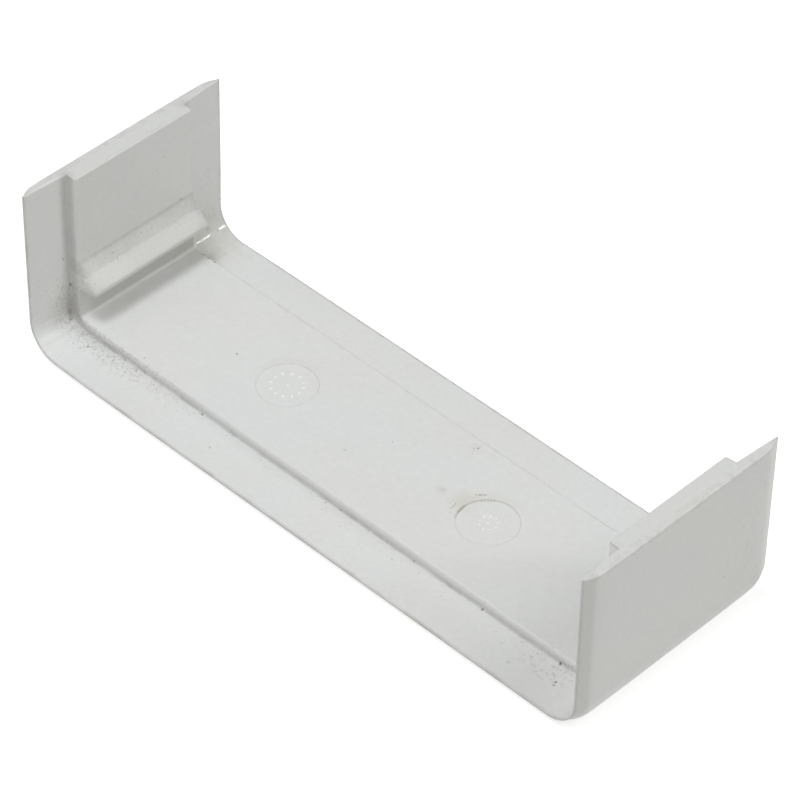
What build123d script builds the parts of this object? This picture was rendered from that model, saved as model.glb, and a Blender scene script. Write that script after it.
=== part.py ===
"""Clip-on connector for wall trunking: one moulded U with a stepped liner and two snap barbs.

Millimetres. The part stands on its flat underside: +X runs along its length, from wall to wall,
+Y from the front rim to the rear rim, and +Z up the walls. The origin is at the middle of the underside.
"""
import os

from build123d import *

NODE = "connector_body"

# Overall size
overall_length = 108.0
overall_width = 37.8
overall_height = 29.3

# Shell: base and walls, and the bends that join them
shell_wall = 1.75
bend_outer_radius = 6.0
bend_inner_radius = 2.6
top_edge_round = 0.4

# Rims: the shell left free in front of the liner and behind it, thinning to a bevelled edge
rim_width = 7.6
rim_taper = 0.5
edge_bevel = 1.7
edge_land = 0.3

# Liner: the thicker step on the inside of the base and walls
liner_wall = 1.75
liner_corner_radius = 0.6
liner_edge_break = 0.25

# Snap barbs: a ramp that the trunking rides over, and a ledge that holds it down
barb_reach = 3.3
barb_gap = 6.3
barb_ramp_height = 4.0
barb_tip_land = 0.35
barb_ledge_drop = 0.4
barb_blend_radius = 0.8

# Mould inserts: two round discs sunk into the liner's floor
insert_radius = 4.5
insert_spacing = 39.2
insert_depth = 0.12

# Room that a cut runs past the faces it opens
cut_margin = 2.0

# Places that follow from the sizes above
half_length = overall_length / 2
half_width = overall_width / 2
liner_half_width = half_width - rim_width
liner_inset = shell_wall + liner_wall
rim_edge_wall = shell_wall - rim_taper
edge_inset = rim_edge_wall - edge_land
cut_top = overall_height + cut_margin


def section(y, inset, bend_radius, top):
    """Return the face at y of a U outline drawn in by inset from the shell's outside, filled up to top."""
    half = half_length - inset
    corners = Polyline((-half, top), (-half, inset), (half, inset), (half, top), close=True)
    outline = make_face(corners)
    lower_corners = outline.vertices().group_by(Axis.Y)[0]
    plane = Plane(origin=(0, y, 0), x_dir=(1, 0, 0), z_dir=(0, -1, 0))
    return plane * fillet(lower_corners, bend_radius)


def run(first, second):
    """Return the solid between two U sections."""
    return loft([first, second], ruled=True)


def both_ends(solid):
    """Return a front feature with its mirror image at the rear."""
    return solid + mirror(solid, about=Plane.XZ)


def make_blank():
    """Return the shell's outside, filled, with its front and rear edges bevelled."""
    bevel_y = half_width - edge_bevel
    full_front = section(-bevel_y, 0, bend_outer_radius, overall_height)
    full_rear = section(bevel_y, 0, bend_outer_radius, overall_height)
    edge = section(-half_width, edge_inset, bend_outer_radius - edge_inset, overall_height)
    return run(full_front, full_rear) + both_ends(run(edge, full_front))


def make_rim_space():
    """Return the space inside both rims, which widens towards the free edges."""
    taper_slope = rim_taper / rim_width
    outside_inset = rim_edge_wall - taper_slope * cut_margin
    outside = section(-half_width - cut_margin, outside_inset, bend_outer_radius - outside_inset, cut_top)
    at_liner = section(-liner_half_width, shell_wall, bend_inner_radius, cut_top)
    return both_ends(run(outside, at_liner))


def make_liner_space():
    """Return the space inside the liner, with the liner's front and rear edges broken."""
    straight_y = liner_half_width - liner_edge_break
    front = section(-straight_y, liner_inset, liner_corner_radius, cut_top)
    rear = section(straight_y, liner_inset, liner_corner_radius, cut_top)
    broken_inset = liner_inset - liner_edge_break
    mouth = section(-liner_half_width, broken_inset, liner_corner_radius + liner_edge_break, cut_top)
    return run(front, rear) + both_ends(run(mouth, front))


def make_barb():
    """Return the barb on the left wall's liner, with its ramp blended into the liner's face."""
    face_x = -half_length + liner_inset
    buried_x = face_x - liner_wall / 2
    tip_x = face_x + barb_reach
    tip_bottom = liner_inset + barb_gap
    tip_top = tip_bottom + barb_tip_land
    ramp_top = tip_top + barb_ramp_height
    blend_top = ramp_top + barb_blend_radius
    ledge_root = tip_bottom - barb_ledge_drop
    outline = Polyline(
        (buried_x, ledge_root),
        (face_x, ledge_root),
        (tip_x, tip_bottom),
        (tip_x, tip_top),
        (face_x, ramp_top),
        (face_x, blend_top),
        (buried_x, blend_top),
        close=True,
    )
    profile = make_face(outline)
    ramp_start = profile.vertices().sort_by_distance((face_x, ramp_top))[0]
    profile = fillet(ramp_start, barb_blend_radius)
    end_y = liner_half_width - liner_edge_break
    plane = Plane(origin=(0, 0, 0), x_dir=(1, 0, 0), z_dir=(0, -1, 0))
    return extrude(plane * profile, amount=end_y, both=True)


def make_inserts():
    """Return the two discs that the mould inserts leave in the liner's floor."""
    floor_disc = Cylinder(insert_radius, insert_depth, align=(Align.CENTER, Align.CENTER, Align.MAX))
    places = [Pos(side * insert_spacing / 2, 0, liner_inset) for side in (-1, 1)]
    return [place * floor_disc for place in places]


def round_wall_tops(body):
    """Return the body with the long edges of both walls' tops rounded, outside and on the liner."""
    long_edges = body.edges().filter_by(Axis.Y)
    top_edges = long_edges.group_by(Axis.Z)[-1]
    return fillet(top_edges, top_edge_round)


def make_connector():
    """Return the whole moulding as one solid."""
    shell = make_blank() - make_rim_space() - make_liner_space()
    body = round_wall_tops(shell)
    barb = make_barb()
    body = body + barb + mirror(barb, about=Plane.YZ)
    return body - make_inserts()


connector = make_connector()
connector.label = NODE
os.makedirs("parts", exist_ok=True)
export_step(connector, f"parts/{NODE}.step")
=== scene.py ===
"""Looks of a clip-on trunking connector: one off-white moulding, soiled by handling, on a white floor."""

import logging
import math
from collections.abc import Sequence
from dataclasses import dataclass
from enum import Enum

import bmesh
import bpy
import numpy as np
from mathutils import Matrix, Vector


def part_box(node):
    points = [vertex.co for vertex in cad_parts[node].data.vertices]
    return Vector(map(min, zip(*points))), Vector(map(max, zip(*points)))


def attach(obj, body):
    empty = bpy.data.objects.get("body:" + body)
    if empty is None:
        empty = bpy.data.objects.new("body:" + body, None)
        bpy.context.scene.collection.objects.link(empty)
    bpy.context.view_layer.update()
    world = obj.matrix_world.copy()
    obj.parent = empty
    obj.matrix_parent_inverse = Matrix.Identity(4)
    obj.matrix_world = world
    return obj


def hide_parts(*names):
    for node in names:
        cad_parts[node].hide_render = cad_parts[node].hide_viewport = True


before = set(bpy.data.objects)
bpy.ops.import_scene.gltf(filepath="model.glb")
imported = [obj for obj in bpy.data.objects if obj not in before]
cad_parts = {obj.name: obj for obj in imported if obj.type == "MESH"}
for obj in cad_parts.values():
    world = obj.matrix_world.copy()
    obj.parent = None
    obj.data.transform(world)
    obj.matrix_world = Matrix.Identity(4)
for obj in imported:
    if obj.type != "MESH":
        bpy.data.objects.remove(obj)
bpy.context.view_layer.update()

log = logging.getLogger("connector")

NODE = "connector_body"
BODY = "root"
MM = 0.001

Point = tuple[float, float, float]
Colour = tuple[float, float, float]


class Signal:
    """A shader socket that takes part in Python arithmetic: each operation adds one Math node."""

    def __init__(self, graph: "Graph", socket: bpy.types.NodeSocket) -> None:
        """Wrap a socket of a graph."""
        self.graph = graph
        self.socket = socket

    def __add__(self, other: "Value") -> "Signal":
        """Return self + other."""
        return self.graph.math("ADD", self, other)

    def __radd__(self, other: float) -> "Signal":
        """Return other + self."""
        return self.graph.math("ADD", other, self)

    def __sub__(self, other: "Value") -> "Signal":
        """Return self - other."""
        return self.graph.math("SUBTRACT", self, other)

    def __rsub__(self, other: float) -> "Signal":
        """Return other - self."""
        return self.graph.math("SUBTRACT", other, self)

    def __mul__(self, other: "Value") -> "Signal":
        """Return self * other."""
        return self.graph.math("MULTIPLY", self, other)

    def __rmul__(self, other: float) -> "Signal":
        """Return other * self."""
        return self.graph.math("MULTIPLY", other, self)

    def __truediv__(self, other: "Value") -> "Signal":
        """Return self / other."""
        return self.graph.math("DIVIDE", self, other)

    def __pow__(self, other: "Value") -> "Signal":
        """Return self to the power of other."""
        return self.graph.math("POWER", self, other)

    def __abs__(self) -> "Signal":
        """Return the size of self."""
        return self.graph.math("ABSOLUTE", self)

    def __lt__(self, other: "Value") -> "Signal":
        """Return 1 where self is below other, else 0."""
        return self.graph.math("LESS_THAN", self, other)

    def at_least(self, other: "Value") -> "Signal":
        """Return the larger of self and other."""
        return self.graph.math("MAXIMUM", self, other)

    def at_most(self, other: "Value") -> "Signal":
        """Return the smaller of self and other."""
        return self.graph.math("MINIMUM", self, other)


Value = Signal | float


class Graph:
    """A shader node tree that is written as expressions."""

    def __init__(self, tree: bpy.types.NodeTree) -> None:
        """Take over a tree and empty it."""
        self.tree = tree
        tree.nodes.clear()

    def node(self, kind: str, settings: dict | None = None, sockets: dict | None = None) -> bpy.types.Node:
        """Add one node.

        Args:
            kind: The node's type.
            settings: Its properties, set before its sockets.
            sockets: Values or links for its inputs, by name or identifier.

        Returns:
            The new node.
        """
        made = self.tree.nodes.new(kind)
        for name, value in (settings or {}).items():
            setattr(made, name, value)
        for name, value in (sockets or {}).items():
            self.feed(self.find(made.inputs, name), value)
        return made

    def find(self, sockets: bpy.types.bpy_prop_collection, name: str) -> bpy.types.NodeSocket:
        """Return the first enabled socket of that identifier or name."""
        return next(s for s in sockets if s.enabled and name in (s.identifier, s.name))

    def feed(self, socket: bpy.types.NodeSocket, value: object) -> None:
        """Link a signal or a node's first output to an input, or set the input to a plain value."""
        if isinstance(value, Signal):
            self.tree.links.new(value.socket, socket)
        elif isinstance(value, bpy.types.Node):
            self.tree.links.new(value.outputs[0], socket)
        elif isinstance(socket.default_value, float):
            socket.default_value = value
        else:
            size = len(socket.default_value)
            socket.default_value = (*value, 1.0)[:size]

    def signal(self, kind: str, settings: dict | None, sockets: dict | None, output: str) -> Signal:
        """Add one node and return the named one of its outputs."""
        made = self.node(kind, settings, sockets)
        return Signal(self, self.find(made.outputs, output))

    def math(self, operation: str, *values: Value) -> Signal:
        """Add a Math node and return its result.

        Args:
            operation: The node's operation.
            values: What goes into it.

        Returns:
            The result.
        """
        made = self.node("ShaderNodeMath", {"operation": operation})
        for socket, value in zip(made.inputs, values):
            self.feed(socket, value)
        return Signal(self, made.outputs[0])

    def vector(self, operation: str, first: object, second: object, output: str = "Vector") -> Signal:
        """Add a Vector Math node and return its result.

        Args:
            operation: The node's operation.
            first: Its first input.
            second: Its second input, or the factor of a scaling.
            output: Name of the output to return.

        Returns:
            The result.
        """
        made = self.node("ShaderNodeVectorMath", {"operation": operation})
        self.feed(made.inputs[0], first)
        scaled = operation == "SCALE"
        self.feed(self.find(made.inputs, "Scale") if scaled else made.inputs[1], second)
        return Signal(self, self.find(made.outputs, output))

    def split(self, vector: Signal) -> tuple[Signal, Signal, Signal]:
        """Return the three parts of a vector or a colour.

        Args:
            vector: The vector or colour.

        Returns:
            The parts, in order.
        """
        parts = self.node("ShaderNodeSeparateXYZ", None, {"Vector": vector})
        x, y, z = (Signal(self, socket) for socket in parts.outputs)
        return x, y, z

    def mix(self, factor: Value, first: object, second: object) -> Signal:
        """Return the colour that goes from first to second as factor goes from 0 to 1."""
        sockets = {"Factor_Float": factor, "A_Color": first, "B_Color": second}
        return self.signal("ShaderNodeMix", {"data_type": "RGBA"}, sockets, "Result_Color")

    def ramp(self, value: Signal, low: float, high: float) -> Signal:
        """Return a soft step from 0 at low to 1 at high; with low above high it falls instead of rising.

        Args:
            value: What the step depends on.
            low: Value at which the step is 0.
            high: Value at which the step is 1.

        Returns:
            The step.
        """
        sockets = {"Value": value, "From Min": min(low, high), "From Max": max(low, high)}
        step = self.signal("ShaderNodeMapRange", {"interpolation_type": "SMOOTHSTEP"}, sockets, "Result")
        return step if low < high else 1 - step

    def noise(self, place: Signal, per_mm: float, detail: float = 3.0, output: str = "Fac") -> Signal:
        """Return noise with that many swells to the millimetre."""
        sockets = {"Vector": place, "Scale": per_mm, "Detail": detail, "Roughness": 0.55}
        return self.signal("ShaderNodeTexNoise", {"noise_dimensions": "3D"}, sockets, output)


class Soil(Enum):
    """Colours of what has settled on the plastic."""

    SOOT = (0.055, 0.052, 0.050)
    DUST = (0.250, 0.240, 0.222)
    RUST = (0.210, 0.125, 0.080)
    OIL = (0.500, 0.440, 0.270)


@dataclass(frozen=True)
class Spot:
    """One mark that can be told apart: its place and reach in millimetres, its strength and what it is."""

    place: Point
    reach: float
    strength: float
    soil: Soil


def spot_row(
    start: Point,
    end: Point,
    count: int,
    reach: float,
    strength: float,
    soil: Soil,
) -> tuple[Spot, ...]:
    """Lay a streak as a row of spots.

    Args:
        start: Place of the first spot.
        end: Place of the last spot.
        count: How many spots there are.
        reach: Reach of each spot.
        strength: Strength of each spot.
        soil: What the streak is.

    Returns:
        The spots, evenly spaced.
    """
    places = np.linspace(start, end, count)
    return tuple(Spot((float(x), float(y), float(z)), reach, strength, soil) for x, y, z in places)


@dataclass(frozen=True)
class SpeckField:
    """A scatter of specks.

    Attributes:
        cell: Spacing of the places that may hold a speck, in millimetres.
        radius: Radius of a speck, in millimetres.
        share: Share of the places that hold one where the field is densest.
        strength: How much of the plastic a speck hides.
        soil: What the specks are.
    """

    cell: float
    radius: float
    share: float
    strength: float
    soil: Soil


@dataclass(frozen=True)
class Site:
    """The point being shaded, in millimetres of the part's own frame.

    Attributes:
        place: The point itself.
        x: Its place along the length.
        y: Its place across the width.
        z: Its height.
        depth: How far it lies inside the shell's outer skin.
        ragged: Noise that roughens the edges of marks.
        patchy: Slow noise that makes dirt come and go.
    """

    place: Signal
    x: Signal
    y: Signal
    z: Signal
    depth: Signal
    ragged: Signal
    patchy: Signal


@dataclass(frozen=True)
class WhitePlastic:
    """Off-white moulded plastic, satin, yellowed a little and soiled by handling.

    The fields after rear_corner, up to insert_smears, are strengths: how much of the plastic a layer hides,
    from 0 to 1. Some of these layers are painted light or shade, as said where they are laid.
    """

    name: str = "white_plastic_soiled"
    cool_tone: Colour = (0.790, 0.800, 0.792)
    warm_tone: Colour = (0.796, 0.796, 0.776)
    # The pale tone below is the colour that painted light on the rim and the riser is mixed towards.
    painted_light_tone: Colour = (0.950, 0.950, 0.940)
    roughness: float = 0.36
    roughness_swing: float = 0.12
    polished_roughness: float = 0.12
    grain_height: float = 0.004
    crumb_height: float = 0.05
    specular_level: float = 0.4
    inside_depth: float = 1.1
    front_corner: Point = (-52.0, -12.2, 5.0)
    rear_corner: Point = (-51.0, 13.5, 4.5)

    film_and_warm_shade: float = 0.03
    left_film_and_warm_shade: float = 0.03
    painted_rim_light: float = 0.25
    streaking: float = 0.07
    corner_smear: float = 0.20
    top_dust: float = 0.09
    groove_shade: float = 0.05
    left_groove_shade: float = 0.13
    riser_dust: float = 0.15
    corner_smudge: float = 0.14
    groove_shade_line: float = 0.12
    groove_patches: float = 0.18
    rear_shade_line: float = 0.12
    rear_patches: float = 0.20
    barb_grime: float = 0.32
    barb_patches: float = 0.06
    barb_mottle: float = 0.08
    ramp_oil: float = 0.10
    ramp_dust: float = 0.09
    rear_ramp_dust: float = 0.08
    ramp_top_line: float = 0.01
    rear_top_line: float = 0.03
    under_barb_shade: float = 0.28
    bevel_wear: float = 0.10
    rim_wear: float = 0.10
    rim_patches: float = 0.20
    handled_wear: float = 0.10
    scuffs: float = 0.08
    crumb_blotches: float = 0.24
    insert_lines: tuple[float, float] = (0.20, 0.40)
    insert_smears: tuple[float, float] = (0.05, 0.10)

    spots: tuple[Spot, ...] = (
        Spot((-29.28, -0.57, 3.50), 0.19, 0.95, Soil.SOOT),
        Spot((-0.85, 2.16, 3.50), 0.13, 0.80, Soil.SOOT),
        Spot((8.48, 9.70, 3.50), 0.20, 0.75, Soil.RUST),
        Spot((8.12, 9.24, 3.50), 0.14, 0.45, Soil.RUST),
        Spot((8.68, 8.31, 3.50), 0.12, 0.35, Soil.RUST),
        Spot((8.20, 9.70, 3.50), 1.20, 0.14, Soil.OIL),
        Spot((-4.36, -3.74, 3.50), 0.40, 0.40, Soil.OIL),
        Spot((-37.92, -10.54, 3.50), 0.30, 0.30, Soil.RUST),
        Spot((10.58, 0.05, 3.50), 1.20, 0.14, Soil.OIL),
        Spot((10.80, 0.20, 3.50), 0.50, 0.16, Soil.DUST),
        *spot_row((14.65, 2.72, 3.50), (15.10, 3.10, 3.50), 3, 0.20, 0.35, Soil.RUST),
        *spot_row((15.10, 3.10, 3.50), (15.72, 3.65, 3.50), 4, 0.20, 0.55, Soil.RUST),
        *spot_row((15.75, -2.55, 3.50), (15.28, -1.46, 3.50), 4, 0.22, 0.40, Soil.RUST),
        *spot_row((15.26, -1.46, 3.50), (15.03, 0.00, 3.50), 5, 0.34, 0.42, Soil.RUST),
        *spot_row((14.10, -1.54, 3.50), (13.98, -0.57, 3.50), 3, 0.20, 0.50, Soil.RUST),
        *spot_row((16.02, 2.42, 3.42), (17.30, 3.70, 3.42), 5, 0.22, 0.35, Soil.RUST),
        Spot((14.54, -2.29, 3.50), 0.18, 0.40, Soil.RUST),
        Spot((14.20, 0.60, 3.50), 2.60, 0.16, Soil.OIL),
        Spot((-46.05, 11.20, 3.38), 0.36, 0.90, Soil.SOOT),
        Spot((-47.30, 11.20, 3.38), 0.50, 0.45, Soil.RUST),
        Spot((-48.40, 11.30, 3.45), 0.60, 0.35, Soil.RUST),
        Spot((-19.52, -15.28, 1.49), 0.36, 0.50, Soil.OIL),
        Spot((-46.94, -13.26, 1.62), 0.22, 0.85, Soil.SOOT),
        Spot((-24.92, -11.60, 1.73), 0.24, 0.85, Soil.SOOT),
        Spot((-0.07, -11.75, 1.72), 0.20, 0.50, Soil.SOOT),
        Spot((2.52, -11.40, 1.78), 0.20, 0.55, Soil.SOOT),
        Spot((16.59, -11.40, 1.76), 0.22, 0.45, Soil.SOOT),
        Spot((29.51, -11.40, 1.78), 0.30, 0.65, Soil.SOOT),
        Spot((43.77, -11.40, 1.78), 0.38, 0.80, Soil.SOOT),
        Spot((45.47, -14.14, 1.56), 0.28, 0.75, Soil.SOOT),
        Spot((45.60, -14.68, 1.53), 0.30, 0.45, Soil.RUST),
        Spot((38.40, -15.92, 1.45), 0.40, 0.22, Soil.DUST),
        Spot((-52.30, -11.40, 9.08), 0.46, 0.75, Soil.RUST),
        Spot((-52.30, -12.48, 14.38), 0.24, 0.60, Soil.RUST),
        Spot((-52.30, -11.30, 13.40), 0.26, 0.55, Soil.RUST),
        Spot((-52.30, -11.30, 20.20), 0.22, 0.65, Soil.SOOT),
        Spot((-52.10, -11.60, 4.00), 0.90, 0.22, Soil.RUST),
        Spot((-50.50, -8.20, 28.32), 0.26, 0.45, Soil.OIL),
        Spot((-50.50, 5.52, 23.88), 0.16, 0.50, Soil.RUST),
        Spot((-50.50, 4.29, 22.01), 0.15, 0.50, Soil.RUST),
        Spot((-50.50, 4.65, 21.24), 0.14, 0.40, Soil.RUST),
        Spot((-49.60, -5.40, 13.05), 0.26, 0.45, Soil.RUST),
        Spot((-48.90, -5.20, 12.20), 0.22, 0.45, Soil.RUST),
        Spot((-49.75, 0.30, 13.25), 0.22, 0.40, Soil.RUST),
        Spot((-50.50, 8.78, 14.20), 0.30, 0.40, Soil.DUST),
        Spot((-52.40, 16.08, 22.11), 0.24, 0.50, Soil.RUST),
        Spot((-52.00, 15.50, 3.60), 0.55, 0.50, Soil.OIL),
        Spot((-51.60, 17.00, 2.90), 0.45, 0.45, Soil.OIL),
        Spot((54.00, 9.02, 11.10), 0.17, 0.50, Soil.SOOT),
        Spot((54.00, 13.38, 10.03), 0.16, 0.40, Soil.RUST),
        Spot((54.00, 11.88, 7.70), 0.13, 0.30, Soil.DUST),
    )

    def make(self, form: "Form") -> bpy.types.Material:
        """Build the material.

        Args:
            form: The moulding's sizes, which say where soil gathers.

        Returns:
            The finished material.
        """
        material = bpy.data.materials.new(self.name)
        material.use_nodes = True
        graph = Graph(material.node_tree)
        site = self.survey(graph, form)
        crumbs = self.crumb_share(graph, site, form)
        colour = self.bare_colour(graph, site)
        colour = self.add_film(graph, colour, site, form)
        colour = self.add_groove_dirt(graph, colour, site, form)
        colour = self.add_barb_grime(graph, colour, site, form)
        colour = self.add_edge_wear(graph, colour, site, form)
        colour = self.add_specks(graph, colour, site, form, crumbs)
        colour = self.add_spots(graph, colour, site)
        colour = self.add_insert_dirt(graph, colour, site, form)
        rubbed = self.rubbed_share(graph, site)
        sockets = {
            "Base Color": colour,
            "Roughness": self.sheen(graph, site, rubbed),
            "Normal": self.grain(graph, site, crumbs, rubbed),
            "Specular IOR Level": self.specular_level,
        }
        shader = graph.node("ShaderNodeBsdfPrincipled", None, sockets)
        graph.node("ShaderNodeOutputMaterial", None, {"Surface": shader})
        return material

    def survey(self, graph: Graph, form: "Form") -> Site:
        """Return where the point being shaded lies on the moulding.

        Args:
            graph: The material's node tree.
            form: The moulding's sizes.

        Returns:
            The point's place and the noise there.
        """
        own = graph.signal("ShaderNodeTexCoord", None, None, "Object")
        place = graph.vector("SCALE", own, 1 / MM)
        x, y, z = graph.split(place)
        bend = form.bend_outer_radius
        out = (abs(x) - (form.half_length - bend)).at_least(0.0)
        down = (bend - z).at_least(0.0)
        depth = bend - (out * out + down * down) ** 0.5
        patchy = graph.ramp(graph.noise(place, 0.22, 3.0), 0.35, 0.65)
        return Site(place, x, y, z, depth, graph.noise(place, 0.8, 5.0), patchy)

    def bare_colour(self, graph: Graph, site: Site) -> Signal:
        """Return the clean plastic's colour, with slow warm and cool swells and a fine mottle.

        Args:
            graph: The material's node tree.
            site: Where the point being shaded lies.

        Returns:
            The clean colour.
        """
        slow = graph.ramp(graph.noise(site.place, 0.06, 4.0), 0.35, 0.7)
        tone = graph.mix(slow, self.cool_tone, self.warm_tone)
        mottle = graph.ramp(graph.noise(site.place, 1.3, 4.0), 0.3, 0.75)
        return graph.mix(mottle * 0.05, tone, Soil.DUST.value)

    def add_film(self, graph: Graph, colour: Signal, site: Site, form: "Form") -> Signal:
        """Return the colour with film on the walls, partly painted warm shade, smears and streaks there,
        painted light on the left front rim wall and dusty wall tops.

        Args:
            graph: The material's node tree.
            colour: The colour so far.
            site: Where the point being shaded lies.
            form: The moulding's sizes.

        Returns:
            The new colour.
        """
        # A warm film on the upright walls, heavier on the left liner: partly real film, partly painted warm
        # shade on faces that lie in shade.
        upright = graph.ramp(abs(site.x), form.half_length - 6.0, form.half_length - 4.0)
        upright = upright * graph.ramp(site.z, 3.0, 8.0)
        left = site.x < 0.0
        inside = 1 - (site.depth < self.inside_depth)
        on_liner = 1 - (site.depth < form.liner_inset - 0.5)
        film_and_warm_shade = self.film_and_warm_shade + self.left_film_and_warm_shade * left * on_liner
        colour = graph.mix(upright * film_and_warm_shade, colour, Soil.OIL.value)
        # Painted light: the left front rim wall is lightened towards the pale tone, as if more light fell on
        # it.
        rim_light_mask = graph.ramp(site.x, -51.0, -52.0) * graph.ramp(site.y, -11.8, -13.2)
        rim_light_mask = rim_light_mask * graph.ramp(site.z, 2.5, 6.0) * inside
        colour = graph.mix(rim_light_mask * self.painted_rim_light, colour, self.painted_light_tone)
        combed = graph.vector("MULTIPLY", site.place, (1.3, 0.12, 1.3))
        streaked = graph.ramp(graph.noise(combed, 1.0, 3.0), 0.48, 0.62) * inside
        bend = graph.ramp(site.x, -46.0, -49.0) * graph.ramp(site.z, 7.0, 4.0)
        bend = bend * graph.ramp(site.y, -11.0, -12.0)
        colour = graph.mix(streaked * bend * self.streaking, colour, Soil.DUST.value)
        corner = graph.vector("DISTANCE", site.place, self.rear_corner, "Value")
        smeared = graph.ramp(corner + (site.ragged - 0.5) * 9.0, 9.0, 1.0) * inside
        colour = graph.mix(smeared * self.corner_smear, colour, Soil.OIL.value)
        top = graph.ramp(site.z, form.overall_height - 0.3, form.overall_height - 0.05)
        return graph.mix(top * self.top_dust, colour, Soil.DUST.value)

    def add_groove_dirt(self, graph: Graph, colour: Signal, site: Site, form: "Form") -> Signal:
        """Return the colour with dirt and painted shade on the step's foot, dust on the riser, painted light
        on the front riser, a smudge in the left corner, and a line of dirt and painted shade on the liner's
        rear edge.

        Args:
            graph: The material's node tree.
            colour: The colour so far.
            site: Where the point being shaded lies.
            form: The moulding's sizes.

        Returns:
            The new colour.
        """
        middle = form.step_foot_round * (1 - math.sqrt(0.5))
        across = abs(site.y) - form.liner_half_width - middle
        above = site.depth - form.shell_wall - middle
        away = (across * across + above * above) ** 0.5 + (site.ragged - 0.5) * 0.6
        left = graph.ramp(site.x, -34.0, -48.0)
        kept = graph.ramp(site.x, 47.5, 45.0)
        on_wall = graph.ramp(site.x, -49.5, -51.5)
        # Painted shade: a soft darker band along the step's foot, heavier at the left, where the concave
        # corner lies in shade.
        shaded_band = graph.ramp(away, 1.7, 0.1) * (self.groove_shade + self.left_groove_shade * left) * kept
        colour = graph.mix(shaded_band, colour, Soil.DUST.value)
        riser = graph.ramp(abs(across), 0.30, 0.05)
        riser = riser * graph.ramp(above, 2.0, 1.4) * graph.ramp(above, 0.0, 0.2)
        colour = graph.mix(riser * on_wall * self.riser_dust, colour, Soil.DUST.value)
        # Painted light: the front riser, lit from the front, is lightened towards the pale tone.
        front = site.y < 0.0
        below_top = graph.ramp(site.z, form.overall_height - 0.1, form.overall_height - 0.4)
        lit = riser * front * (1 - on_wall) * below_top
        lit = lit * (graph.ramp(above, 0.3, 1.2) + graph.ramp(site.z, 15.0, 24.0)).at_most(1.0)
        colour = graph.mix(lit, colour, self.painted_light_tone)
        corner = graph.vector("DISTANCE", site.place, self.front_corner, "Value")
        inside = 1 - (site.depth < self.inside_depth)
        smudge = graph.ramp(corner + (site.ragged - 0.5) * 3.5, 5.4, 0.3) * inside
        colour = graph.mix(smudge * self.corner_smudge, colour, Soil.RUST.value)
        # A thin dark line at the step's foot: painted shade, with patches of soot.
        line = graph.ramp(away, 0.34, 0.04) * (self.groove_shade_line + self.groove_patches * site.patchy) * kept
        colour = graph.mix(line * (1 - 0.85 * on_wall), colour, Soil.SOOT.value)
        # A dark line along the liner's rear edge: painted shade, with patches of rust.
        beside = abs(site.y - form.liner_half_width) + abs(site.depth - form.liner_inset)
        rear = graph.ramp(beside + (site.ragged - 0.5) * 0.2, 0.42, 0.05)
        rear = rear * (self.rear_shade_line + self.rear_patches * site.patchy)
        return graph.mix(rear, colour, Soil.RUST.value)

    def add_barb_grime(self, graph: Graph, colour: Signal, site: Site, form: "Form") -> Signal:
        """Return the colour with the grime on the left barb's ramp, the line above it and painted shade on
        the wall below it.

        Args:
            graph: The material's node tree.
            colour: The colour so far.
            site: Where the point being shaded lies.
            form: The moulding's sizes.

        Returns:
            The new colour.
        """
        ramp_foot = form.liner_inset + form.barb_gap + form.barb_tip_land
        ramp_top = ramp_foot + form.barb_ramp_height
        wiped_x = -form.half_length + form.liner_inset + 0.46 * form.barb_reach
        within = graph.ramp(abs(site.y), form.liner_half_width + 0.05, form.liner_half_width - 0.1)
        within = within * (1 - (site.depth < self.inside_depth))
        drawn_x = site.x - 0.004 * site.y + (site.ragged - 0.5) * 0.3
        low_edge = graph.ramp(drawn_x, wiped_x + 0.16, wiped_x - 0.16)
        band = low_edge * graph.ramp(site.z, ramp_foot + 1.5, ramp_foot + 1.8) * within
        band = band * graph.ramp(site.z, ramp_top + 0.5, ramp_top - 0.1)
        front_worn = 0.75 + 0.25 * graph.ramp(site.y, -10.0, -5.0)
        grime = self.barb_grime + self.barb_patches * site.patchy
        colour = graph.mix(band * front_worn * grime, colour, Soil.DUST.value)
        ramp_foot_x = -form.half_length + form.liner_inset + form.barb_reach
        on_ramp = graph.ramp(site.x, ramp_foot_x + 0.5, ramp_foot_x + 0.1) * within
        on_ramp = on_ramp * graph.ramp(site.z, 9.0, 9.6)
        lower = on_ramp * graph.ramp(site.z, ramp_top + 0.5, ramp_top - 0.1) * (1 - low_edge)
        colour = graph.mix(lower * self.ramp_oil, colour, Soil.OIL.value)
        ramp_dust = self.ramp_dust + self.rear_ramp_dust * graph.ramp(site.y, -7.0, -2.0)
        colour = graph.mix(lower * ramp_dust, colour, Soil.DUST.value)
        left = site.x < 0.0
        on_wall = graph.ramp(abs(site.x), form.half_length - 4.2, form.half_length - 3.8) * within * left
        line = graph.ramp(abs(site.z - ramp_top - 0.1) + (site.ragged - 0.5) * 0.8, 0.30, 0.04) * on_wall
        top_line = self.ramp_top_line + self.rear_top_line * graph.ramp(site.y, -2.0, 6.0)
        colour = graph.mix(line * top_line, colour, Soil.DUST.value)
        mottled = graph.ramp(graph.noise(site.place, 2.6, 3.0), 0.45, 0.68)
        colour = graph.mix(band * mottled * self.barb_mottle, colour, Soil.RUST.value)
        # Painted shade: the wall under the barb's ledge is darkened, less so towards the front where light
        # comes in.
        ledge = form.liner_inset + form.barb_gap - form.barb_ledge_drop
        under_ledge_shade = graph.ramp(site.z, form.liner_inset + 0.15, form.liner_inset + 0.5)
        under_ledge_shade = under_ledge_shade * graph.ramp(site.z, ledge + 0.4, ledge) * on_wall
        return graph.mix(under_ledge_shade * self.under_barb_shade * graph.ramp(site.y, -11.3, -7.5), colour, Soil.DUST.value)

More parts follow.
